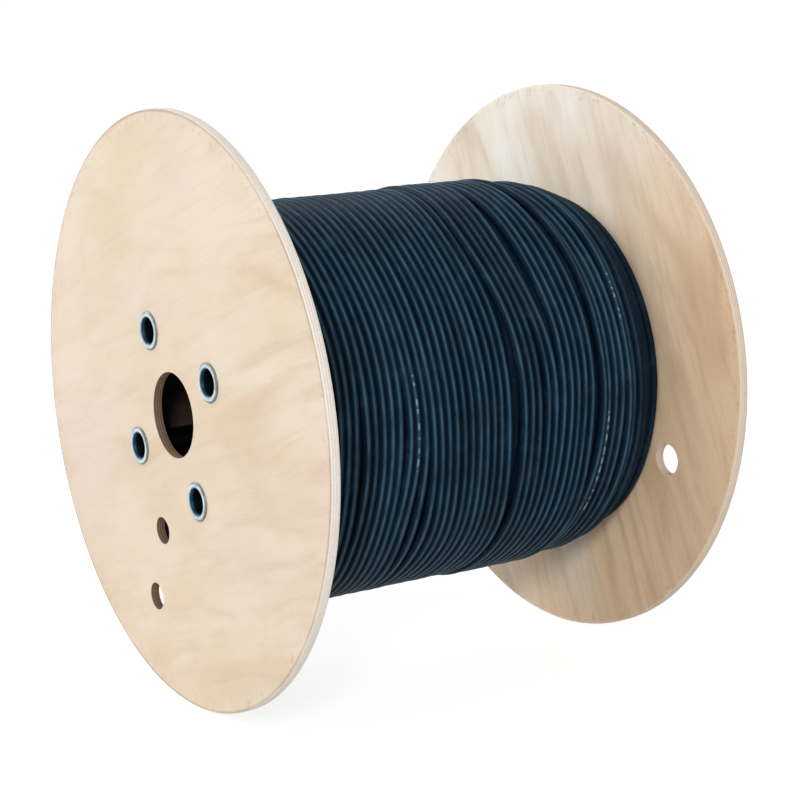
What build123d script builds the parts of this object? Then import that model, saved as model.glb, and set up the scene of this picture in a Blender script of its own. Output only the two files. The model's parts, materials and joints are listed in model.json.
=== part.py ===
from build123d import *
import math
import os

os.makedirs("parts", exist_ok=True)

# Driving dimensions, in millimetres and degrees
flange_diameter = 560.0
flange_thickness = 9.0
overall_width = 450.0
spindle_bore_diameter = 80.0

barrel_diameter = 218.0
barrel_wall = 8.0
barrel_seat_depth = 3.0
barrel_seat_clearance = 0.2

tie_tube_count = 4
tie_tube_barrel_gap = 3.5
tie_tube_start_angle = 57.0
tie_tube_diameter = 25.0
tie_tube_wall = 1.0
tie_tube_hole_clearance = 0.2
tie_tube_lip_diameter = 40.0
tie_tube_lip_height = 2.0
tie_tube_roll = 3.0

cable_hole_angle = -77.5
inner_end_hole_diameter = 26.0
inner_end_hole_gap = 0.5
outer_end_hole_diameter = 26.0
outer_end_hole_offset = 196.0
far_hole_diameter = 30.0
far_hole_offset = 195.0
far_hole_angle = -161.0

cable_diameter = 8.6
layer_count = 11
winding_clearance = 0.2
groove_depth = 3.3
fullest_turn_count = 13
# The even turns beside the near flange lie this share of a layer below the fullest ones
near_layer_share = 0.5
# The main grooves part the even turns into this many level bands
near_band_count = 3
fullest_band_count = 2
# The last turns towards the far flange step down: the count of turns in each step, and how many layers
# each step lies below the fullest turns
far_step_turn_counts = (4, 2, 1, 1)
far_step_layer_counts = (0.6, 1.2, 1.9, 2.9)

# Places that follow from the sizes. The drum lies on its two rims, with its axis along X.
flange_radius = flange_diameter / 2
near_face = -overall_width / 2
far_face = overall_width / 2
near_inner_face = near_face + flange_thickness
far_inner_face = far_face - flange_thickness
traverse = far_inner_face - near_inner_face
barrel_radius = barrel_diameter / 2
barrel_bore_radius = barrel_radius - barrel_wall
tube_radius = tie_tube_diameter / 2
tube_circle_radius = barrel_bore_radius - tie_tube_barrel_gap - tube_radius
inner_end_hole_offset = barrel_radius + inner_end_hole_gap + inner_end_hole_diameter / 2
drum_centre = (0, 0, flange_radius)
drum_axis = Axis(drum_centre, (1, 0, 0))


def across(x):
    """The plane across the drum's axis at x: its X runs to the back, its Y up and its normal along the drum."""
    return Plane(origin=(x, 0, flange_radius), x_dir=(0, 1, 0), z_dir=(1, 0, 0))


# The plane along the drum's axis: its X runs along the drum and its Y out from the axis
along = Plane(origin=drum_centre, x_dir=(1, 0, 0), z_dir=(0, -1, 0))


def polar_point(offset, angle):
    return (offset * math.cos(math.radians(angle)), offset * math.sin(math.radians(angle)))


def make_flange(outer_face, inward, cable_holes):
    """A plywood disc from its outer face inward, drilled, and grooved inside for the barrel."""
    with BuildPart() as flange:
        with BuildSketch(across(outer_face)):
            Circle(flange_radius)
            Circle(spindle_bore_diameter / 2, mode=Mode.SUBTRACT)
            with PolarLocations(tube_circle_radius, tie_tube_count, tie_tube_start_angle):
                Circle(tube_radius + tie_tube_hole_clearance, mode=Mode.SUBTRACT)
            for offset, angle, diameter in cable_holes:
                with Locations(polar_point(offset, angle)):
                    Circle(diameter / 2, mode=Mode.SUBTRACT)
        extrude(amount=inward * flange_thickness)
        with BuildSketch(across(outer_face + inward * flange_thickness)):
            Circle(barrel_radius + barrel_seat_clearance)
            Circle(barrel_bore_radius - barrel_seat_clearance, mode=Mode.SUBTRACT)
        extrude(amount=-inward * barrel_seat_depth, mode=Mode.SUBTRACT)
    return flange.part


# Flanges
near_holes = [
    (inner_end_hole_offset, cable_hole_angle, inner_end_hole_diameter),
    (outer_end_hole_offset, cable_hole_angle, outer_end_hole_diameter),
]
flange_near = make_flange(near_face, 1, near_holes)
flange_near.label = "flange_near"
export_step(flange_near, "parts/flange_near.step")

far_holes = [(far_hole_offset, far_hole_angle, far_hole_diameter)]
flange_far = make_flange(far_face, -1, far_holes)
flange_far.label = "flange_far"
export_step(flange_far, "parts/flange_far.step")

# Barrel, standing on the floors of the two ring grooves
with BuildPart() as barrel:
    with BuildSketch(across(near_inner_face - barrel_seat_depth)):
        Circle(barrel_radius)
        Circle(barrel_bore_radius, mode=Mode.SUBTRACT)
    extrude(amount=traverse + 2 * barrel_seat_depth)
barrel.part.label = "barrel"
export_step(barrel.part, "parts/barrel.step")

# Tie tubes: one turned profile, its rolled lips drawn down on the outer faces of the flanges
tube_bore_radius = tube_radius - tie_tube_wall
lip_radius = tie_tube_lip_diameter / 2
lip_crest_radius = tube_bore_radius + tie_tube_roll


def lip_profile(face, outward):
    """One rolled lip, from the tube's mouth over its crest and down to the flange's face."""
    crest = face + outward * tie_tube_lip_height
    return [
        (crest, tube_bore_radius),
        (crest, lip_crest_radius),
        (face, lip_radius),
        (face, tube_radius),
    ]


near_lip = lip_profile(near_face, -1)
far_lip = lip_profile(far_face, 1)
for number in range(1, tie_tube_count + 1):
    seat_angle = tie_tube_start_angle + (number - 1) * 360 / tie_tube_count
    seat_y, seat_up = polar_point(tube_circle_radius, seat_angle)
    seat = (0, seat_y, flange_radius + seat_up)
    with BuildPart() as tie_tube:
        with BuildSketch(Plane(origin=seat, x_dir=(1, 0, 0), z_dir=(0, -1, 0))):
            with BuildLine():
                Polyline(*near_lip, *reversed(far_lip), close=True)
            make_face()
        revolve(axis=Axis(seat, (1, 0, 0)))
    name = f"tie_tube_{number}"
    tie_tube.part.label = name
    export_step(tie_tube.part, f"parts/{name}.step")

# Wound cable. Each layer nests in the grooves of the one below.
layer_rise = cable_diameter * math.sin(math.radians(60))
winding_bore_radius = barrel_radius + winding_clearance
winding_start = near_inner_face + winding_clearance
winding_end = far_inner_face - winding_clearance
turns = math.floor((winding_end - winding_start) / cable_diameter)
pitch = (winding_end - winding_start) / turns
crest_radius = winding_bore_radius + cable_diameter + (layer_count - 1) * layer_rise

stepped_turns = sum(far_step_turn_counts)
full_turns = min(fullest_turn_count, turns - stepped_turns - 1)
near_turns = turns - stepped_turns - full_turns


def turn_edge(turn):
    """Where a turn begins, counted from the near flange."""
    return winding_start + turn * pitch


# Bands of turns from the near flange to the far one: how many turns, and how many layers down
bands = [(near_turns / near_band_count, near_layer_share)] * near_band_count
bands += [(full_turns / fullest_band_count, 0)] * fullest_band_count
bands += zip(far_step_turn_counts, far_step_layer_counts)

# A groove parts each band from the last one. A band of one or two turns is a ridge, and a wider one is level.
profile = [(winding_start, winding_bore_radius)]
turn = 0
for count, layers in bands:
    crest = crest_radius - layers * layer_rise
    band_start = turn_edge(turn)
    band_end = turn_edge(turn + count)
    profile.append((band_start, crest - groove_depth))
    if count > 2:
        profile.append((band_start + pitch / 2, crest))
        profile.append((band_end - pitch / 2, crest))
    else:
        profile.append(((band_start + band_end) / 2, crest))
    turn += count
profile.append((winding_end, crest - groove_depth))
profile.append((winding_end, winding_bore_radius))

with BuildPart() as cable_winding:
    with BuildSketch(along):
        with BuildLine():
            Polyline(*profile, close=True)
        make_face()
    revolve(axis=drum_axis)
cable_winding.part.label = "cable_winding"
export_step(cable_winding.part, "parts/cable_winding.step")
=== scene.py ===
import json
import math
import bpy
import bmesh
from mathutils import Matrix, Vector, noise


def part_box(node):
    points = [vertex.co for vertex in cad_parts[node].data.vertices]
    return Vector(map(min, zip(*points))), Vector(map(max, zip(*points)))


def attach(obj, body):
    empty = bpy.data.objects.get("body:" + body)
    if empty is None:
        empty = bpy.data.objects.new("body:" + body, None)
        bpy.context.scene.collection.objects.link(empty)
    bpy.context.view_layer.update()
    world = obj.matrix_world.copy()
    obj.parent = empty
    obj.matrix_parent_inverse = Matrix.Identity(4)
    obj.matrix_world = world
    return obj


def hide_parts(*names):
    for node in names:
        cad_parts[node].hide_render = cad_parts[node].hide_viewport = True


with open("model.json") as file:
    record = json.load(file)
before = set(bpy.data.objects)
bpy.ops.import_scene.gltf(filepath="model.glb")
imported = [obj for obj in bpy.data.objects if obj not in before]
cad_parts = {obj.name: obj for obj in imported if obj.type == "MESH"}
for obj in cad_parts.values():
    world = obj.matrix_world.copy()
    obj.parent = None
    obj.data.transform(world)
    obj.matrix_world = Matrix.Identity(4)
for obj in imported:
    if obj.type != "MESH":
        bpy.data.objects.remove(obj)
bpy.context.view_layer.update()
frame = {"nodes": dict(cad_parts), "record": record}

# Sizes and places that the frame gives, in metres
mounts = {mount["name"]: mount for mount in frame["record"]["mounts"]}
nearLow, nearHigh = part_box("flange_near")
farLow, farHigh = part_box("flange_far")
barrelLow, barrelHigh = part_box("barrel")
windingLow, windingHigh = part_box("cable_winding")
flangeRadius = (nearHigh.z - nearLow.z) / 2
flangeThickness = nearHigh.x - nearLow.x
axisHeight = (nearHigh.z + nearLow.z) / 2
barrelRadius = (barrelHigh.z - barrelLow.z) / 2
windingCrest = (windingHigh.z - windingLow.z) / 2
boreRadius = mounts["spindle_bore"]["dims"]["r_mm"] / 1000
tubeNumbers = range(1, 5)
tubeSeats = {number: Vector(mounts[f"tie_tube_bore_{number}"]["pos_m"]) for number in tubeNumbers}
tubeBore = mounts["tie_tube_bore_1"]["dims"]["r_mm"] / 1000


class Value:
    # a shader socket that takes part in plain expressions
    def __init__(self, paint, socket):
        self.paint, self.socket = paint, socket

    def maths(self, operation, other, turnedRound=False):
        pair = (other, self) if turnedRound else (self, other)
        return self.paint.node("Math", {"operation": operation}, {0: pair[0], 1: pair[1]})

    def __add__(self, other):
        return self.maths("ADD", other)

    def __sub__(self, other):
        return self.maths("SUBTRACT", other)

    def __rsub__(self, other):
        return self.maths("SUBTRACT", other, True)

    def __mul__(self, other):
        return self.maths("MULTIPLY", other)

    def __truediv__(self, other):
        return self.maths("DIVIDE", other)

    def __pow__(self, other):
        return self.maths("POWER", other)

    __radd__ = __add__
    __rmul__ = __mul__


class Paint:
    # the nodes of one material, or of the world
    def __init__(self, block):
        block.use_nodes = True
        self.block, self.tree = block, block.node_tree
        self.tree.nodes.clear()

    def node(self, kind, settings=None, sockets=None, output=0):
        made = self.tree.nodes.new("ShaderNode" + kind)
        for setting, value in (settings or {}).items():
            setattr(made, setting, value)
        for name, value in (sockets or {}).items():
            if isinstance(value, Value):
                self.tree.links.new(value.socket, made.inputs[name])
            else:
                made.inputs[name].default_value = value
        return Value(self, made.outputs[output]) if made.outputs else None

    def coordinates(self, output="Object"):
        return self.node("TexCoord", output=output)

    def mapped(self, vector, turn=(0, 0, 0), stretch=(1, 1, 1), shift=(0, 0, 0)):
        sockets = {"Vector": vector, "Location": shift, "Rotation": turn, "Scale": stretch}
        return self.node("Mapping", {}, sockets)

    def noise(self, vector, look):
        # a noise from its own row of tunables
        if "stretch" in look:
            vector = self.mapped(vector, stretch=look["stretch"], shift=look.get("shift", (0, 0, 0)))
        sockets = {"Vector": vector, "Scale": look["scale"], "Detail": look["detail"]}
        sockets.update({"Roughness": look.get("roughness", 0.5), "Distortion": look.get("distortion", 0.0)})
        return self.node("TexNoise", {}, sockets)

    def smooth(self, value, low, high, start=0.0, end=1.0):
        sockets = {"Value": value, "From Min": low, "From Max": high, "To Min": start, "To Max": end}
        return self.node("MapRange", {"interpolation_type": "SMOOTHSTEP"}, sockets)

    def mathsOf(self, operation, first, second=0.0):
        return self.node("Math", {"operation": operation}, {0: first, 1: second})

    def blend(self, factor, first, second, how="MIX"):
        settings = {"data_type": "RGBA", "blend_type": how, "clamp_result": False}
        return self.node("Mix", settings, {0: factor, 6: first, 7: second}, 2)

    def axes(self, vector):
        parts = self.node("SeparateXYZ", {}, {0: vector}).socket.node.outputs
        return [Value(self, part) for part in parts]

    def joined(self, x, y, z):
        return self.node("CombineXYZ", {}, {0: x, 1: y, 2: z})

    def bump(self, height, strength, distance):
        return self.node("Bump", {}, {"Height": height, "Strength": strength, "Distance": distance})

    def finish(self, sockets):
        self.node("OutputMaterial", {}, {"Surface": self.node("BsdfPrincipled", {}, sockets)})
        return self.block


def newPaint(name):
    return Paint(bpy.data.materials.new(name))


def shade(red, green, blue):
    # a colour as it reads on a screen, made linear
    def linear(part):
        part = part / 255
        return part / 12.92 if part <= 0.04045 else ((part + 0.055) / 1.055) ** 2.4
    return (linear(red), linear(green), linear(blue), 1.0)


def grey(level):
    return (level, level, level, 1.0)


# Wood. A noise has its stretch along X, Y and Z, which here is across the board, along the grain and across
# the grain. Wear and arris are distances from the drum's axis, in metres.
veneerLooks = {
    "outer": {
        "pale": shade(231, 215, 196), "warm": shade(226, 206, 180), "rosy": shade(229, 209, 196),
        "figure": shade(205, 174, 141), "figureDepth": 0.36, "figureLines": 11.0, "bandDepth": 0.20,
        "grainTurn": 23.0, "fibreDepth": 0.24, "strokeDepth": 0.27,
        "heartAndShade": shade(232, 210, 186), "heartAndShadeDepth": 0.0,
        "rimWear": (0.256, 0.2795), "rimWearDepth": 0.65,
        "arris": (0.2762, 0.2786), "arrisDepth": 0.55, "arrisTone": shade(150, 128, 108),
    },
    "inner": {
        "pale": shade(250, 244, 235), "warm": shade(240, 226, 206), "rosy": shade(243, 230, 215),
        "figure": shade(178, 136, 96), "figureDepth": 0.34, "figureLines": 8.0, "bandDepth": 0.5,
        "grainTurn": -64.0, "fibreDepth": 0.26, "strokeDepth": 0.26,
        "heartAndShade": shade(233, 200, 162), "heartAndShadeDepth": 0.9,
        "rimWear": (0.262, 0.2795), "rimWearDepth": 0.5,
        "arris": (0.2772, 0.2788), "arrisDepth": 0.45, "arrisTone": shade(252, 240, 224),
    },
}
veneerNoises = {
    "warp": {"stretch": (1, 1.6, 4.0), "scale": 2.2, "detail": 2.0},
    "growth": {"stretch": (4, 1.0, 4.5), "scale": 1.5, "detail": 2.5, "roughness": 0.45, "distortion": 0.35},
    "strength": {"scale": 5.0, "detail": 2.0},
    "blotch": {"stretch": (1, 0.6, 1.2), "scale": 9.0, "detail": 3.0, "roughness": 0.6},
    "tint": {"stretch": (1, 0.7, 1.3), "shift": (4, 1, 2), "scale": 6.0, "detail": 2.0},
    "streak": {"stretch": (30, 9, 170), "scale": 1.0, "detail": 3.0, "roughness": 0.6},
    "fibre": {"stretch": (60, 26, 900), "scale": 1.0, "detail": 2.0, "roughness": 0.6},
    "pore": {"stretch": (80, 60, 1500), "shift": (1, 5, 3), "scale": 1.0, "detail": 1.0},
    "band": {"stretch": (2, 1.4, 15), "shift": (2, 4, 1), "scale": 1.0, "detail": 2.0, "distortion": 0.4},
    "stroke": {
        "stretch": (20, 11, 56), "shift": (3, 2, 6),
        "scale": 1.0, "detail": 4.0, "roughness": 0.62, "distortion": 0.5,
    },
}
# the span of each noise that shows, and what it is spread over where that isn't 0 to 1
veneerSpans = {
    "wave": (0.35, 1.0), "strength": (0.35, 0.7), "blotch": (0.36, 0.68), "tint": (0.48, 0.72, 0.0, 0.65),
    "heartAndShade": (-0.12, 0.2), "band": (0.48, 0.68), "stroke": (0.47, 0.72), "streak": (0.48, 0.78),
    "fibre": (0.5, 0.8), "pore": (0.70, 0.80), "poreDent": (0.68, 0.8), "knock": (0.52, 0.72),
    "arris": (0.35, 0.6, 0.45, 1.0),
}
veneerMix = {
    "ringWarp": 1.5, "heartAndShadeDown": 0.35, "heartAndShadeForward": 0.9, "heartAndShadeWarp": 0.2, "bandInHeartAndShade": 0.7,
    "strokeInHeartAndShade": 0.6, "streakLines": 0.6, "fibreLines": 0.5,
    "speckDepth": 1.6, "speck": shade(158, 122, 86),
    "knockNoise": {"scale": 150.0, "detail": 4.0, "roughness": 0.65},
    "fibreHeight": 0.6, "streakHeight": 0.7, "poreHeight": 0.8, "bump": 0.35, "bumpDepth": 0.00025,
    "roughness": 0.56, "streakRoughness": 0.16, "gloss": 0.32,
}


def veneer(name, look, seed):
    paint, mix, spans = newPaint(name), veneerMix, veneerSpans
    place = paint.coordinates()
    y, z = paint.axes(place)[1:]
    # after this turn the grain runs along Y
    grainTurn = (math.radians(look["grainTurn"]), 0, 0)
    turned = paint.mapped(place, turn=grainTurn, shift=(seed, seed * 3, seed * 7))
    raw = {part: paint.noise(turned, noiseLook) for part, noiseLook in veneerNoises.items()}

    def shown(part):
        return paint.smooth(raw[part], *spans[part])

    colour = paint.blend(shown("blotch"), look["pale"], look["warm"])
    colour = paint.blend(shown("tint"), colour, look["rosy"])
    # the sheet turns browner low at the front, partly towards its heart side and partly as painted shade
    towardHeartAndShade = (axisHeight - z) * mix["heartAndShadeDown"] - y * mix["heartAndShadeForward"]
    heartAndShade = paint.smooth(towardHeartAndShade + (raw["warp"] - 0.5) * mix["heartAndShadeWarp"], *spans["heartAndShade"])
    colour = paint.blend(heartAndShade * look["heartAndShadeDepth"], colour, look["heartAndShade"])
    inHeartAndShade = heartAndShade * mix["bandInHeartAndShade"] + (1 - mix["bandInHeartAndShade"])
    bands = shown("band") * look["bandDepth"] * inHeartAndShade
    colour = paint.blend(bands, colour, look["warm"], "MULTIPLY")
    # the rings of the tree, cut into waves
    rings = raw["growth"] * look["figureLines"] + raw["warp"] * mix["ringWarp"]
    wave = paint.mathsOf("PINGPONG", rings, 0.5) * 2
    figure = paint.smooth(wave, *spans["wave"]) ** 2.0 * shown("strength")
    colour = paint.blend(figure * look["figureDepth"], colour, look["figure"])
    inHeartAndShade = heartAndShade * mix["strokeInHeartAndShade"] + (1 - mix["strokeInHeartAndShade"])
    strokes = shown("stroke") * look["strokeDepth"] * inHeartAndShade
    colour = paint.blend(strokes, colour, look["figure"])
    lines = shown("streak") * mix["streakLines"] + shown("fibre") * mix["fibreLines"]
    colour = paint.blend(lines * look["fibreDepth"], colour, look["figure"])
    # knocked and stained along the rim; by the arris a line, darker on the outer sheet and pale on the inner
    # one, where the pale line is a painted highlight
    fromAxis = (y ** 2.0 + (z - axisHeight) ** 2.0) ** 0.5
    knock = paint.smooth(paint.noise(place, mix["knockNoise"]), *spans["knock"])
    knock = knock * paint.smooth(fromAxis, *look["rimWear"])
    colour = paint.blend(knock * look["rimWearDepth"], colour, look["figure"])
    arris = paint.smooth(fromAxis, *look["arris"]) * paint.smooth(raw["blotch"], *spans["arris"])
    colour = paint.blend(arris * look["arrisDepth"], colour, look["arrisTone"])
    colour = paint.blend(shown("pore") * look["fibreDepth"] * mix["speckDepth"], colour, mix["speck"])
    height = raw["fibre"] * mix["fibreHeight"] + raw["streak"] * mix["streakHeight"]
    height = height - paint.smooth(raw["pore"], *spans["poreDent"]) * mix["poreHeight"]
    sockets = {
        "Base Color": colour,
        "Roughness": mix["roughness"] + raw["streak"] * mix["streakRoughness"],
        "Normal": paint.bump(height, mix["bump"], mix["bumpDepth"]),
        "Specular IOR Level": mix["gloss"],
    }
    return paint.finish(sockets)


# the far flange's plies are painted darker than the near flange's, as painted shade
plyLooks = {
    "near": {"along": shade(252, 246, 239), "across": shade(236, 219, 200), "glue": shade(176, 150, 122)},
    "far": {"along": shade(244, 228, 208), "across": shade(228, 204, 178), "glue": shade(170, 142, 112)},
}
plyShape = {
    "plies": 7, "grainTurn": 23.0,
    # how far the plies wander along the edge, in metres
    "wander": 0.0009, "wanderNoise": {"stretch": (0.2, 1, 1), "scale": 38.0, "detail": 2.0},
    "fleckNoise": {"scale": 900.0, "detail": 2.0, "roughness": 0.7}, "fleck": (0.5, 0.72),
    "fleckDepth": 0.15, "endFleckDepth": 0.35,
    "stainNoise": {"stretch": (0.5, 1, 1), "scale": 60.0, "detail": 3.0, "roughness": 0.6},
    "stain": (0.45, 0.75, 0.0, 0.35), "endGrainDepth": 0.75, "seam": (0.40, 0.5), "seamDepth": 0.5,
    "fleckHeight": 0.5, "endFleckHeight": 0.8, "seamHeight": 0.7, "bump": 0.5, "bumpDepth": 0.0003,
    "roughness": 0.7, "gloss": 0.25,
}


def plyEdge(name, lowFace, look):
    paint, shape = newPaint(name), plyShape
    place = paint.coordinates()
    x, y, z = paint.axes(place)
    wander = paint.noise(place, shape["wanderNoise"]) * shape["wander"]
    depth = (x - (lowFace - shape["wander"] / 2) + wander) / flangeThickness * shape["plies"]
    ply = paint.mathsOf("FLOOR", depth)
    odd = paint.mathsOf("MODULO", paint.mathsOf("ABSOLUTE", ply), 2.0)
    # how squarely the end grain of a ply meets the edge, from the angle round the drum
    angle = paint.mathsOf("ARCTAN2", z - axisHeight, y) + math.radians(shape["grainTurn"])
    endOn = paint.mathsOf("COSINE", angle) ** 2.0
    endGrain = endOn * (1 - odd) + (1 - endOn) * odd
    fleck = paint.noise(place, shape["fleckNoise"])
    colour = paint.blend(endGrain * shape["endGrainDepth"], look["along"], look["across"])
    flecks = paint.smooth(fleck, *shape["fleck"]) * (shape["fleckDepth"] + endGrain * shape["endFleckDepth"])
    colour = paint.blend(flecks, colour, look["glue"])
    stain = paint.smooth(paint.noise(place, shape["stainNoise"]), *shape["stain"])
    colour = paint.blend(stain, colour, look["across"])
    seam = paint.smooth(paint.mathsOf("ABSOLUTE", depth - ply - 0.5), *shape["seam"])
    colour = paint.blend(seam * shape["seamDepth"], colour, look["glue"])
    height = fleck * (shape["fleckHeight"] + endGrain * shape["endFleckHeight"]) - seam * shape["seamHeight"]
    sockets = {
        "Base Color": colour,
        "Roughness": shape["roughness"],
        "Normal": paint.bump(height, shape["bump"], shape["bumpDepth"]),
        "Specular IOR Level": shape["gloss"],
    }
    return paint.finish(sockets)


# the near flange's drilled walls are painted darker, as painted shade, and the far flange's paler, as
# painted light
drilledLooks = {
    "near": {"light": shade(150, 126, 104), "dark": shade(84, 66, 52)},
    "far": {"light": shade(232, 214, 196), "dark": shade(186, 158, 130)},
}
drilledShape = {
    "scorchNoise": {"scale": 160.0, "detail": 3.0, "roughness": 0.6}, "scorchDepth": 0.4,
    "fleckNoise": {"scale": 1200.0, "detail": 2.0, "roughness": 0.7}, "fleck": (0.5, 0.7), "fleckDepth": 0.4,
    "stripe": (0.3, 0.7), "stripeDepth": 0.5, "stripeHeight": 0.5, "bump": 0.6, "bumpDepth": 0.0003,
    "roughness": 0.8, "gloss": 0.2,
}


def drilledWall(name, lowFace, look):
    paint, shape = newPaint(name), drilledShape
    place = paint.coordinates()
    depth = (paint.axes(place)[0] - lowFace) / flangeThickness * plyShape["plies"]
    stripe = paint.mathsOf("PINGPONG", depth, 1.0)
    scorch = paint.noise(place, shape["scorchNoise"])
    fleck = paint.noise(place, shape["fleckNoise"])
    dark = paint.smooth(stripe, *shape["stripe"]) * shape["stripeDepth"] + scorch * shape["scorchDepth"]
    colour = paint.blend(dark, look["light"], look["dark"])
    colour = paint.blend(paint.smooth(fleck, *shape["fleck"]) * shape["fleckDepth"], colour, look["dark"])
    sockets = {
        "Base Color": colour,
        "Roughness": shape["roughness"],
        "Normal": paint.bump(fleck + stripe * shape["stripeHeight"], shape["bump"], shape["bumpDepth"]),
        "Specular IOR Level": shape["gloss"],
    }
    return paint.finish(sockets)


# the barrel's board is painted a darker brown than board, as painted shade inside the barrel
boardLook = {
    "pale": shade(62, 48, 38), "dark": shade(48, 37, 30), "fibre": shade(76, 58, 44), "fibreDepth": 0.5,
    "fibreNoise": {"stretch": (6, 90, 90), "scale": 3.0, "detail": 4.0, "roughness": 0.6},
    "fibreSpan": (0.5, 0.75),
    "blotchNoise": {"scale": 14.0, "detail": 3.0}, "blotchSpan": (0.35, 0.65),
    "bump": 0.4, "bumpDepth": 0.0004, "roughness": 0.85,
}


def boardWall(look):
    paint = newPaint("barrelBoard")
    place = paint.coordinates()
    fibre = paint.noise(place, look["fibreNoise"])
    blotch = paint.smooth(paint.noise(place, look["blotchNoise"]), *look["blotchSpan"])
    colour = paint.blend(blotch, look["pale"], look["dark"])
    colour = paint.blend(paint.smooth(fibre, *look["fibreSpan"]) * look["fibreDepth"], colour, look["fibre"])
    sockets = {
        "Base Color": colour,
        "Roughness": look["roughness"],
        "Normal": paint.bump(fibre, look["bump"], look["bumpDepth"]),
    }
    return paint.finish(sockets)


# Zinc and jacket
zincLook = {
    "bright": shade(206, 219, 226), "bloom": shade(168, 186, 196), "shadowed": shade(31, 54, 66),
    "footShade": shade(84, 86, 80), "insideShade": shade(38, 40, 42),
    # radii from the tube's own middle, in metres: where its mouth turns dark and where the lip's foot is
    # painted dark as shade, each with how far the bloom moves it
    "mouth": (0.0146, 0.0128), "mouthWander": 0.001, "mouthRoughness": 0.1,
    "foot": (0.0162, 0.0176), "footWander": 0.002, "footDepth": 0.85, "footShadeNonMetal": 0.5,
    "bloomNoise": {"scale": 130.0, "detail": 4.0, "roughness": 0.6}, "bloomSpan": (0.35, 0.7),
    "scratchNoise": {"stretch": (1, 7, 0.6), "scale": 420.0, "detail": 3.0, "roughness": 0.7},
    "roughness": 0.26, "bloomRoughness": 0.22, "bump": 0.18, "bumpDepth": 0.0001,
}


def zincSteel(name, seat, look):
    paint = newPaint(name)
    place = paint.coordinates()
    x, y, z = paint.axes(place)
    away = ((y - seat.y) ** 2.0 + (z - seat.z) ** 2.0) ** 0.5
    bloom = paint.noise(place, look["bloomNoise"])
    scratch = paint.noise(place, look["scratchNoise"])
    mouth = paint.smooth(away + (bloom - 0.5) * look["mouthWander"], *look["mouth"])
    # the lip's foot is painted dark and less metallic, as painted shade where it meets the board
    foot = paint.smooth(away + (bloom - 0.5) * look["footWander"], *look["foot"]) * look["footDepth"]
    # between the flanges, inside the barrel, the tube is painted dark as shade
    inside = paint.smooth(x, nearLow.x, nearHigh.x) * paint.smooth(x, farHigh.x, farLow.x)
    colour = paint.blend(paint.smooth(bloom, *look["bloomSpan"]), look["bright"], look["bloom"])
    colour = paint.blend(foot, colour, look["footShade"])
    colour = paint.blend(mouth, colour, look["shadowed"])
    colour = paint.blend(inside, colour, look["insideShade"])
    sockets = {
        "Base Color": colour,
        "Metallic": 1.0 - foot * look["footShadeNonMetal"],
        "Roughness": bloom * look["bloomRoughness"] + look["roughness"] + mouth * look["mouthRoughness"],
        "Normal": paint.bump(scratch, look["bump"], look["bumpDepth"]),
    }
    return paint.finish(sockets)


jacketLook = {
    "body": shade(15, 33, 48), "deep": shade(8, 20, 32), "rubbedAndHighlight": shade(66, 99, 120),
    "dustyAndHighlight": shade(63, 88, 99), "print": shade(180, 194, 200), "roughness": 0.42, "dustRoughness": 0.16,
    "gloss": 0.045, "glossTint": (0.45, 0.75, 1.0, 1.0), "bump": 0.12, "bumpDepth": 0.00012,
    "grainNoise": {"scale": 1600.0, "detail": 2.0}, "toneSpan": (0.3, 0.7),
    "cloudNoise": {"scale": 16.0, "detail": 2.0}, "cloudSpan": (0.46, 0.66),
    "dustNoise": {"scale": 40.0, "detail": 4.0, "roughness": 0.62}, "dustSpan": (0.5, 0.85),
    "dustDepth": 0.22,
    # the tone of each turn and the fading of its painted highlight line, made from its count and the way
    # along it
    "turnStep": 0.73, "turnLength": 3.0, "turnNoise": {"scale": 1.0, "detail": 2.0, "roughness": 0.6},
    "fadeStep": 3.1, "fadeLength": 44.0, "fadeWidth": 2.0,
    "fadeNoise": {"scale": 1.0, "detail": 3.0, "roughness": 0.7},
    # the painted highlight line along each turn, on the side that faces out: its place round the cable, its
    # core and fade, and how much the tone and the fading leave of it
    "lineSide": 0.535, "lineCore": 0.0, "lineFade": 0.085,
    "lineTone": (0.25, 0.7, 0.5, 1.0), "lineBreakup": (0.25, 0.7, 0.45, 1.0),
    # beside the far flange the painted highlight line gives way, from one turn to the other, to painted
    # shade on the turns that lie deeper there
    "paintedShadeFrom": (42.8, 45.6), "paintedShadeShare": 0.85,
}
# the broken dashes on the jacket: how they sit on a turn, and (first run, last run, place round the cable)
dashLook = {
    "perTurn": 210.0, "unevenPerTurn": 60.0, "uneven": 5.0, "unevenNoise": {"scale": 1.0, "detail": 3.0},
    "dash": (0.5, 0.7), "end": 0.0008, "row": (0.045, 0.02), "fade": (0.3, 0.6, 0.4, 1.0), "depth": 0.46,
    "marks": [(15.45, 15.525, 0.53), (39.50, 39.60, 0.53), (42.39, 42.43, 0.53)],
}


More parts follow.
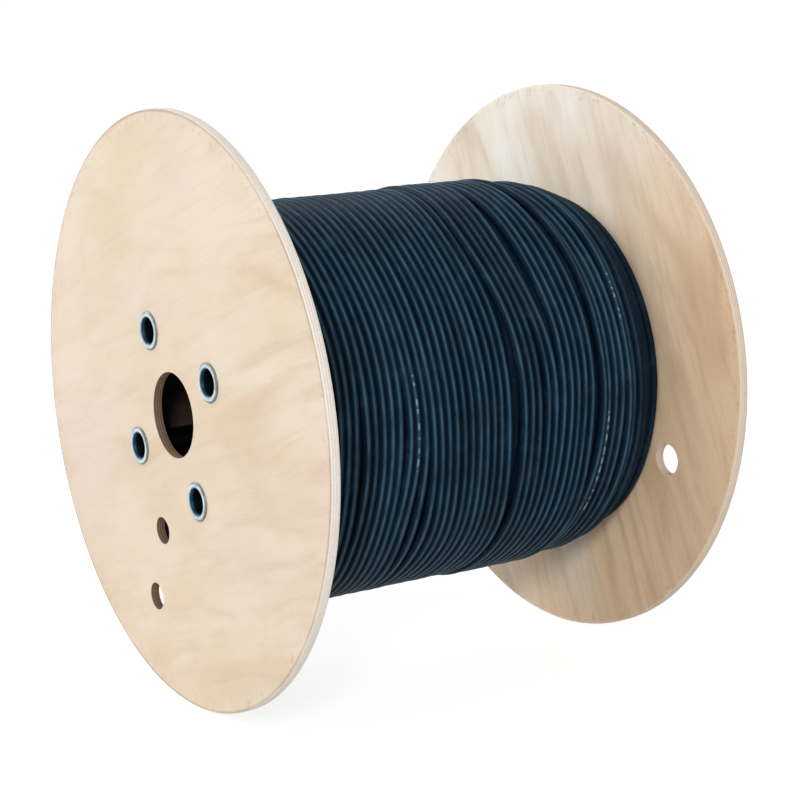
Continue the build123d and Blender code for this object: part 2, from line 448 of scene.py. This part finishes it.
def jacket(name, look, turns, dashes):
    paint = newPaint(name)
    place = paint.coordinates()
    cloud = paint.noise(place, look["cloudNoise"])
    dust = paint.noise(place, look["dustNoise"])
    tone = cloud
    if turns:
        u, v = paint.axes(paint.coordinates("UV"))[:2]
        turn = paint.mathsOf("FLOOR", v * turns)
        around = v * turns - turn
        run = turn + u
        spot = paint.joined(turn * look["turnStep"], u * look["turnLength"], 0.0)
        tone = paint.noise(spot, look["turnNoise"])
        spot = paint.joined(turn * look["fadeStep"], u * look["fadeLength"], around * look["fadeWidth"])
        fade = paint.noise(spot, look["fadeNoise"])
    colour = paint.blend(paint.smooth(tone, *look["toneSpan"]), look["deep"], look["body"])
    dustAndHighlight = paint.blend(paint.smooth(cloud, *look["cloudSpan"]), look["rubbedAndHighlight"], look["dustyAndHighlight"])
    colour = paint.blend(paint.smooth(dust, *look["dustSpan"]) * look["dustDepth"], colour, dustAndHighlight)
    if turns:
        # the painted highlight along the outer side of each turn, cut back near the far flange as painted
        # shade
        off = paint.mathsOf("ABSOLUTE", around - look["lineSide"])
        line = paint.smooth(off, look["lineFade"], look["lineCore"])
        line = line * paint.smooth(run, *look["paintedShadeFrom"], 1.0, 1.0 - look["paintedShadeShare"])
        line = line * paint.smooth(tone, *look["lineTone"]) * paint.smooth(fade, *look["lineBreakup"])
        colour = paint.blend(line, colour, dustAndHighlight)
        for start, end, side in dashes["marks"]:
            uneven = paint.noise(run * dashes["unevenPerTurn"], dashes["unevenNoise"]) * dashes["uneven"]
            dash = paint.mathsOf("PINGPONG", run * dashes["perTurn"] + uneven, 1.0)
            mark = paint.smooth(dash, *dashes["dash"]) * paint.smooth(run, start, start + dashes["end"])
            mark = mark * paint.smooth(run, end, end - dashes["end"])
            mark = mark * paint.smooth(paint.mathsOf("ABSOLUTE", around - side), *dashes["row"])
            mark = mark * paint.smooth(fade, *dashes["fade"])
            colour = paint.blend(mark * dashes["depth"], colour, look["print"])
    sockets = {
        "Base Color": colour,
        "Roughness": dust * look["dustRoughness"] + look["roughness"],
        "Normal": paint.bump(paint.noise(place, look["grainNoise"]), look["bump"], look["bumpDepth"]),
        "Specular IOR Level": look["gloss"],
        "Specular Tint": look["glossTint"],
    }
    return paint.finish(sockets)


# Meshes
mergeDistance = 1e-6


def facing(x, y=0.0, z=axisHeight):
    # a matrix that lays a flat shape across the drum's axis
    return Matrix.Translation((x, y, z)) @ Matrix.Rotation(math.pi / 2, 4, "Y")


def addRing(bm, radius, segments, matrix):
    made = bmesh.ops.create_circle(bm, radius=radius, segments=segments, cap_ends=False, matrix=matrix)
    return list({edge for vert in made["verts"] for edge in vert.link_edges})


def spun(bm, outline, centre, steps):
    # turns a closed outline of (x, distance from the centre) round an axis along X
    verts = [bm.verts.new((x, centre.y, centre.z + radius)) for x, radius in outline]
    edges = [bm.edges.new((verts[index - 1], verts[index])) for index in range(len(verts))]
    bmesh.ops.spin(bm, geom=verts + edges, cent=centre, axis=(1, 0, 0), angle=2 * math.pi, steps=steps,
                   use_merge=True, use_duplicate=False)
    bmesh.ops.remove_doubles(bm, verts=bm.verts, dist=mergeDistance)
    bmesh.ops.recalc_face_normals(bm, faces=bm.faces)
    for face in bm.faces:
        face.smooth = True


def toObject(bm, name, materials, node):
    mesh = bpy.data.meshes.new(name)
    bm.to_mesh(mesh)
    bm.free()
    for material in materials:
        mesh.materials.append(material)
    piece = bpy.data.objects.new(name, mesh)
    bpy.context.scene.collection.objects.link(piece)
    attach(piece, "root")
    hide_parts(node)


flangeShape = {
    "rimSegments": 288, "boreSegments": 96, "holeSegments": 64, "grooveSegments": 96,
    "arris": 0.0009, "arrisSegments": 3, "tubeWall": 0.0012, "grooveClearance": 0.0002, "barrelWall": 0.008,
    # an edge sharper than this, in radians, gets an arris
    "sharp": 1.0,
    # a face that looks this much along the drum is flat, or belongs to the outer or inner sheet of the board
    "flatTilt": 0.999, "sheetTilt": 0.8,
    # a face farther from the axis than this share of the radius is on the rim
    "rimShare": 0.95,
}


def makeFlange(node, outerFace, innerFace, holeNames, materials):
    shape = flangeShape
    outward = 1.0 if outerFace > innerFace else -1.0
    bm = bmesh.new()
    flat = facing(innerFace)
    rim = addRing(bm, flangeRadius, shape["rimSegments"], flat)
    grooveOuter = addRing(bm, barrelRadius + shape["grooveClearance"], shape["grooveSegments"], flat)
    grooveInner = addRing(bm, barrelRadius - shape["barrelWall"] - shape["grooveClearance"],
                          shape["grooveSegments"], flat)
    bore = addRing(bm, boreRadius, shape["boreSegments"], flat)
    tubes = []
    for seat in tubeSeats.values():
        matrix = facing(innerFace, seat.y, seat.z)
        tubes += addRing(bm, tubeBore + shape["tubeWall"], shape["holeSegments"], matrix)
    cables = []
    for name in holeNames:
        mount = mounts[name]
        matrix = facing(innerFace, mount["pos_m"][1], mount["pos_m"][2])
        cables += addRing(bm, mount["dims"]["r_mm"] / 1000, shape["holeSegments"], matrix)
    across = Vector((1, 0, 0))
    bmesh.ops.triangle_fill(bm, use_beauty=True, edges=rim + grooveOuter + cables, normal=across)
    bmesh.ops.triangle_fill(bm, use_beauty=True, edges=grooveInner + bore + tubes, normal=across)
    ring = bmesh.ops.bridge_loops(bm, edges=grooveOuter + grooveInner)["faces"]
    # the whole sheet becomes the board, and the ring is sunk into it as the barrel's groove
    grown = bmesh.ops.extrude_face_region(bm, geom=list(bm.faces), use_keep_orig=True)
    moved = [part for part in grown["geom"] if isinstance(part, bmesh.types.BMVert)]
    bmesh.ops.translate(bm, verts=moved, vec=(outward * flangeThickness, 0, 0))
    sunk = bmesh.ops.extrude_face_region(bm, geom=ring)
    floor = [part for part in sunk["geom"] if isinstance(part, bmesh.types.BMVert)]
    bmesh.ops.translate(bm, verts=floor, vec=(outward * grooveDepth(node), 0, 0))
    bmesh.ops.delete(bm, geom=[face for face in ring if face.is_valid], context="FACES_ONLY")
    bmesh.ops.remove_doubles(bm, verts=bm.verts, dist=mergeDistance)
    bmesh.ops.recalc_face_normals(bm, faces=bm.faces)
    arrises = [edge for edge in bm.edges if isArris(edge)]
    bmesh.ops.bevel(bm, geom=arrises, offset=shape["arris"], offset_type="OFFSET", affect="EDGES",
                    segments=shape["arrisSegments"], profile=0.5, material=-1)
    for face in bm.faces:
        face.smooth = abs(face.normal.x) < shape["flatTilt"]
        face.material_index = woodIndex(face, innerFace)
    toObject(bm, node + "_board", materials, node)


def grooveDepth(node):
    return nearHigh.x - barrelLow.x if node == "flange_near" else barrelHigh.x - farLow.x


def isArris(edge):
    # every sharp edge but those of the barrel's groove
    if len(edge.link_faces) != 2 or edge.calc_face_angle() < flangeShape["sharp"]:
        return False
    away = math.hypot(edge.verts[0].co.y, edge.verts[0].co.z - axisHeight)
    return abs(away - barrelRadius + flangeShape["barrelWall"] / 2) > flangeShape["barrelWall"]


def woodIndex(face, innerFace):
    # 0 the outer face, 1 the inner one, 2 the rim's plies, 3 a drilled wall
    middle = face.calc_center_median()
    if abs(face.normal.x) > flangeShape["sheetTilt"]:
        return 1 if abs(middle.x - innerFace) < flangeThickness / 2 else 0
    away = math.hypot(middle.y, middle.z - axisHeight)
    return 2 if away > flangeRadius * flangeShape["rimShare"] else 3


# the lip is drawn a little smaller than the solid's, as the photo shows it
tubeShape = {
    "wall": 0.001, "lipShare": 0.92, "roll": 0.0035, "mouth": 0.0045, "edge": 0.0004,
    "steps": 72, "arcPoints": 7,
}


def lipOutline(face, outward, crest, lipRadius):
    # one rolled lip, from the bore over the crest and down to the board
    shape = tubeShape
    crestRadius = tubeBore + shape["roll"]
    points = []
    for index in range(shape["arcPoints"] + 1):
        bend = math.pi / 2 * index / shape["arcPoints"]
        out = crest - shape["mouth"] * (1 - math.sin(bend))
        points.append((face + outward * out, crestRadius - shape["roll"] * math.cos(bend)))
    for index in range(1, shape["arcPoints"] + 1):
        bend = math.pi / 2 * index / shape["arcPoints"]
        out = shape["edge"] + (crest - shape["edge"]) * math.cos(bend)
        points.append((face + outward * out, crestRadius + (lipRadius - crestRadius) * math.sin(bend)))
    points.append((face, lipRadius))
    points.append((face, tubeBore + shape["wall"]))
    return points


def makeTieTube(number, material):
    node = f"tie_tube_{number}"
    low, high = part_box(node)
    lipRadius = (high.z - low.z) / 2 * tubeShape["lipShare"]
    near = lipOutline(nearLow.x, -1, nearLow.x - low.x, lipRadius)
    far = lipOutline(farHigh.x, 1, high.x - farHigh.x, lipRadius)
    bm = bmesh.new()
    spun(bm, near + far[::-1], tubeSeats[number], tubeShape["steps"])
    toObject(bm, node + "_rolled", [material], node)


# The wound cable. A place on it is told by its run, counted in turns from the near flange. Each turn starts
# at the back of the drum and goes over the top to the front: 180 and -180 the back, 90 the top, 0 the front.
windingShape = {
    "diameter": 0.0082, "turns": 48.0, "segmentsPerTurn": 120, "sides": 16, "inset": 0.0006,
    # how far the cable sags under the drum
    "sag": 0.0058,
    # slow and quick swings of the turns along the drum, and of their distance from the axis: how far, over
    # how many turns, and how closely round the drum
    "wander": 0.0018, "wanderTurns": 6.0, "wanderRound": 1.3,
    "jitter": 0.0006, "jitterTurns": 1 / 1.7, "jitterRound": 2.6,
    "lift": 0.0007, "liftTurns": 1.25, "liftRound": 1.1, "liftSeed": 9.0,
    # turns over which the swings grow from each flange
    "endTurns": 1.5,
    # (first turn, layers below the fullest), and how many turns each step takes
    "heights": [(0, 0.3), (28.0, 0.0), (38.6, 0.6), (43.2, 1.2), (45.2, 1.8), (46.3, 2.65)],
    "stepTurns": 0.35,
    # gaps that show the layer below: (turn on their left, angle, reach in degrees, width)
    "gaps": [
        (32, 54, 46, 0.0095), (30, 6, 40, 0.0026), (27, 2, 62, 0.0090), (28, 62, 34, 0.0024),
        (37, 48, 62, 0.0075), (37, -6, 34, 0.0060), (41, 56, 34, 0.0040), (16, -28, 34, 0.0046),
        (15, -30, 34, 0.0036), (17, -34, 30, 0.0020), (8, -6, 34, 0.0040), (13, 0, 24, 0.0026),
        (35, 52, 44, 0.0016), (32, 14, 30, 0.0014), (41, -20, 40, 0.0030), (20, 138, 44, 0.0080),
        (33, -140, 56, 0.0090), (11, 164, 48, 0.0060), (24, -96, 36, 0.0070), (40, 150, 50, 0.0060),
        (5, -118, 40, 0.0050), (38, -92, 34, 0.0060), (28, 174, 44, 0.0060),
    ],
}
layerRise = windingShape["diameter"] * math.sin(math.radians(60))


def wrapped(angle):
    return (angle + 180.0) % 360.0 - 180.0


def turnAngle(run):
    return 180.0 - run % 1.0 * 360.0


def eased(share):
    share = min(max(share, 0.0), 1.0)
    return share * share * (3 - 2 * share)


def swing(run, angle, turns, closeness, seed=0.0):
    # one smooth noise along the run that meets itself round the drum
    around = math.radians(angle)
    spot = (run / turns + seed, closeness * math.cos(around), closeness * math.sin(around))
    return noise.noise(Vector(spot))


def turnPlace(run):
    # where the middle of the cable lies along the drum
    shape = windingShape
    angle = turnAngle(run)
    spare = windingHigh.x - windingLow.x - shape["diameter"] * (1 + shape["turns"])
    opened, shifted = 0.0, 0.0
    for turn, middle, reach, width in shape["gaps"]:
        off = wrapped(angle - middle)
        width *= 1 - eased(abs(off) / reach)
        past = run - (turn + 0.5 + (180.0 - middle) / 360.0) + off / 360.0
        past = min(max(past + 0.5, 0.0), 1.0)
        opened += width
        shifted += width * (past - math.sin(2 * math.pi * past) / (2 * math.pi))
    step = shape["diameter"] + (spare - opened) / shape["turns"]
    drift = swing(run, angle, shape["wanderTurns"], shape["wanderRound"]) * shape["wander"]
    jitter = swing(run, angle, shape["jitterTurns"], shape["jitterRound"]) * shape["jitter"]
    ends = eased(run / shape["endTurns"]) * eased((shape["turns"] - run) / shape["endTurns"])
    return windingLow.x + shape["diameter"] / 2 + run * step + shifted + (drift + jitter) * ends


def turnRadius(run):
    # how far the middle of the cable lies from the drum's axis
    shape = windingShape
    angle = turnAngle(run)
    layers = shape["heights"][0][1]
    for (turn, level), last in zip(shape["heights"][1:], shape["heights"]):
        layers += (level - last[1]) * eased((run - turn) / shape["stepTurns"] + 0.5)
    lift = swing(run, angle, shape["liftTurns"], shape["liftRound"], shape["liftSeed"]) * shape["lift"]
    sag = shape["sag"] * eased(-math.sin(math.radians(angle)))
    return windingCrest - shape["inset"] - shape["diameter"] / 2 - layers * layerRise + lift + sag


def makeTurns(material):
    shape = windingShape
    rings = int(shape["turns"] * shape["segmentsPerTurn"])
    sides = shape["sides"]
    cableRadius = shape["diameter"] / 2
    bm = bmesh.new()
    uvs = bm.loops.layers.uv.new("OFBake")
    bmesh.ops.create_grid(bm, x_segments=rings, y_segments=sides, size=0.5, calc_uvs=False)
    spots = {}
    for vert in bm.verts:
        spots[vert.index] = (round((vert.co.x + 0.5) * rings), round((vert.co.y + 0.5) * sides))
    # one strip of the UV map for each turn, from its start to its end and once round the cable
    for face in bm.faces:
        corners = [spots[loop.vert.index] for loop in face.loops]
        turn = min(ring for ring, side in corners) // shape["segmentsPerTurn"]
        for loop, (ring, side) in zip(face.loops, corners):
            loop[uvs].uv = (ring / shape["segmentsPerTurn"] - turn, (turn + side / sides) / shape["turns"])
    centres = []
    for ring in range(rings + 1):
        run = ring / shape["segmentsPerTurn"]
        centres.append((turnPlace(run), turnRadius(run), math.radians(turnAngle(run))))
    for vert in bm.verts:
        ring, side = spots[vert.index]
        place, radius, angle = centres[ring]
        around = 2 * math.pi * side / sides
        out = radius - cableRadius * math.cos(around)
        x = place + cableRadius * math.sin(around)
        vert.co = (x, -out * math.cos(angle), axisHeight + out * math.sin(angle))
    bmesh.ops.remove_doubles(bm, verts=bm.verts, dist=mergeDistance)
    bmesh.ops.holes_fill(bm, edges=[edge for edge in bm.edges if edge.is_boundary], sides=0)
    bmesh.ops.recalc_face_normals(bm, faces=bm.faces)
    for face in bm.faces:
        # the cut ends stay flat
        face.smooth = len(face.verts) == 4
    toObject(bm, "cable_turns", [material], "cable_winding")


# the layer below as one ridged body with its bore, its ends ridged by the layers inside
underShape = {
    "arcPoints": 6, "steps": 120, "endLayers": 10, "endPoints": 4, "boreGap": 0.0002, "endGap": 0.0003,
    # how far the first and last ridges stay from the flanges, in cable diameters
    "endRoom": 0.6,
}


def makeUnderLayer(material):
    shape = underShape
    diameter = windingShape["diameter"]
    points = shape["arcPoints"]
    ridges = int(windingShape["turns"]) - 1
    step = (windingHigh.x - windingLow.x - 2 * shape["endRoom"] * diameter) / ridges
    outline = []
    for ridge in range(ridges):
        middle = windingLow.x + shape["endRoom"] * diameter + (ridge + 0.5) * step
        radius = turnRadius(ridge + 0.5) - layerRise
        for index in range(points):
            bend = math.pi * (index + 0.5) / points
            outline.append((middle - diameter / 2 * math.cos(bend), radius + diameter / 2 * math.sin(bend)))
    rightEnd = endRidges(windingHigh.x - shape["endGap"], -1, outline[-1][1] - diameter / 2)
    leftEnd = endRidges(windingLow.x + shape["endGap"], 1, outline[0][1] - diameter / 2)
    bm = bmesh.new()
    spun(bm, outline + rightEnd + leftEnd[::-1], Vector((0, 0, axisHeight)), shape["steps"])
    toObject(bm, "cable_under_layer", [material], "cable_winding")


def endRidges(face, inward, top):
    # the sides of the turns that lie against a flange, from the outermost to the bore
    shape = underShape
    bottom = barrelRadius + shape["boreGap"]
    depth = (top - bottom) / shape["endLayers"]
    ridges = []
    for layer in range(shape["endLayers"]):
        for index in range(shape["endPoints"]):
            bend = math.pi * (index + 0.5) / shape["endPoints"]
            sink = depth / 2 * (1 - math.sin(bend))
            ridges.append((face + inward * sink, top - depth * (layer + 0.5) + depth / 2 * math.cos(bend)))
    ridges.append((face + inward * depth, bottom))
    return ridges


# Stage
cameraSetup = {
    "place": (-0.9959, -1.5315, 0.7384), "yaw": 31.27, "pitch": 16.05,
    "lens": 86.06, "shift": (0.10, 0.0625), "sensor": 36.0, "clipEnd": 200.0,
}
stageLook = {
    "floorSize": 60.0, "floorGlow": 0.83, "floorShade": 0.38, "floorBounce": 0.84, "world": 0.46,
    "lamps": [
        # (name, place, aim, size, power, colour)
        ("key", (-3.0, 0.9, 2.9), (0.0, 0.0, 0.3), 1.6, 20.0, (1.0, 0.99, 0.97)),
        ("front", (-2.45, -2.9, 2.1), (0.0, 0.0, 0.3), 0.9, 76.0, (0.97, 0.99, 1.0)),
        ("back", (-0.7, 1.8, 1.3), (0.1, 0.1, 0.4), 1.0, 19.5, (0.98, 0.99, 1.0)),
    ],
}


def makeCamera(setup):
    camera = bpy.data.cameras.new("camera")
    camera.sensor_width = setup["sensor"]
    camera.lens = setup["lens"]
    camera.shift_x, camera.shift_y = setup["shift"]
    camera.clip_end = setup["clipEnd"]
    holder = bpy.data.objects.new("camera", camera)
    holder.location = setup["place"]
    holder.rotation_euler = (math.radians(90 - setup["pitch"]), 0, -math.radians(setup["yaw"]))
    bpy.context.scene.collection.objects.link(holder)
    bpy.context.scene.camera = holder


def makeLamps(lamps):
    for name, place, aim, size, power, colour in lamps:
        lamp = bpy.data.lights.new(name, "AREA")
        lamp.shape = "DISK"
        lamp.size = size
        lamp.energy = power
        lamp.color = colour
        holder = bpy.data.objects.new(name, lamp)
        holder.location = place
        holder.rotation_euler = (Vector(aim) - Vector(place)).to_track_quat("-Z", "Y").to_euler()
        bpy.context.scene.collection.objects.link(holder)


def makeFloor(look):
    bm = bmesh.new()
    bmesh.ops.create_grid(bm, x_segments=1, y_segments=1, size=look["floorSize"] / 2)
    mesh = bpy.data.meshes.new("floor")
    bm.to_mesh(mesh)
    bm.free()
    floor = bpy.data.objects.new("floor", mesh)
    bpy.context.scene.collection.objects.link(floor)
    # the camera sees a floor that is white but for the drum's shadow, and the drum gets a plain bounce
    paint = newPaint("floorWhite")
    glow = paint.node("Emission", {}, {"Color": grey(1.0), "Strength": look["floorGlow"]})
    cover = paint.node("BsdfDiffuse", {}, {"Color": grey(look["floorShade"])})
    shown = paint.node("AddShader", {}, {0: glow, 1: cover})
    bounce = paint.node("BsdfDiffuse", {}, {"Color": grey(look["floorBounce"])})
    both = paint.node("MixShader", {}, {0: seenRays(paint), 1: bounce, 2: shown})
    paint.node("OutputMaterial", {}, {"Surface": both})
    mesh.materials.append(paint.block)


def seenRays(paint):
    rays = paint.node("LightPath").socket.node.outputs
    camera, glossy = Value(paint, rays["Is Camera Ray"]), Value(paint, rays["Is Glossy Ray"])
    through = Value(paint, rays["Is Transmission Ray"])
    return paint.mathsOf("MINIMUM", camera + glossy + through, 1.0)


def makeWorld(level):
    world = bpy.data.worlds.new("studio")
    bpy.context.scene.world = world
    paint = Paint(world)
    light = paint.node("Background", {}, {"Color": grey(1.0), "Strength": level})
    shown = paint.node("Background", {}, {"Color": grey(1.0), "Strength": 1.0})
    both = paint.node("MixShader", {}, {0: seenRays(paint), 1: light, 2: shown})
    paint.node("OutputWorld", {}, {"Surface": both})


# The build
bpy.context.scene.view_settings.view_transform = "Standard"
makeCamera(cameraSetup)
makeLamps(stageLook["lamps"])
makeFloor(stageLook)
makeWorld(stageLook["world"])
print("stage ready")

outerVeneer = veneer("outerVeneer", veneerLooks["outer"], 0.0)
innerVeneer = veneer("innerVeneer", veneerLooks["inner"], 1.7)
nearWood = [outerVeneer, innerVeneer, plyEdge("nearPlies", nearLow.x, plyLooks["near"]),
            drilledWall("nearDrilled", nearLow.x, drilledLooks["near"])]
farWood = [outerVeneer, innerVeneer, plyEdge("farPlies", farLow.x, plyLooks["far"]),
           drilledWall("farDrilled", farLow.x, drilledLooks["far"])]
makeFlange("flange_near", nearLow.x, nearHigh.x, ["inner_end_hole", "outer_end_hole"], nearWood)
makeFlange("flange_far", farHigh.x, farLow.x, ["far_end_hole"], farWood)
print("flanges ready")

for number in tubeNumbers:
    makeTieTube(number, zincSteel(f"zincSteel{number}", tubeSeats[number], zincLook))
print("tie tubes ready")

barrel = frame["nodes"]["barrel"]
barrel.data.materials.clear()
barrel.data.materials.append(boardWall(boardLook))
print("barrel ready")

makeTurns(jacket("cableJacket", jacketLook, windingShape["turns"], dashLook))
makeUnderLayer(jacket("underJacket", jacketLook, 0, dashLook))
print("winding ready")
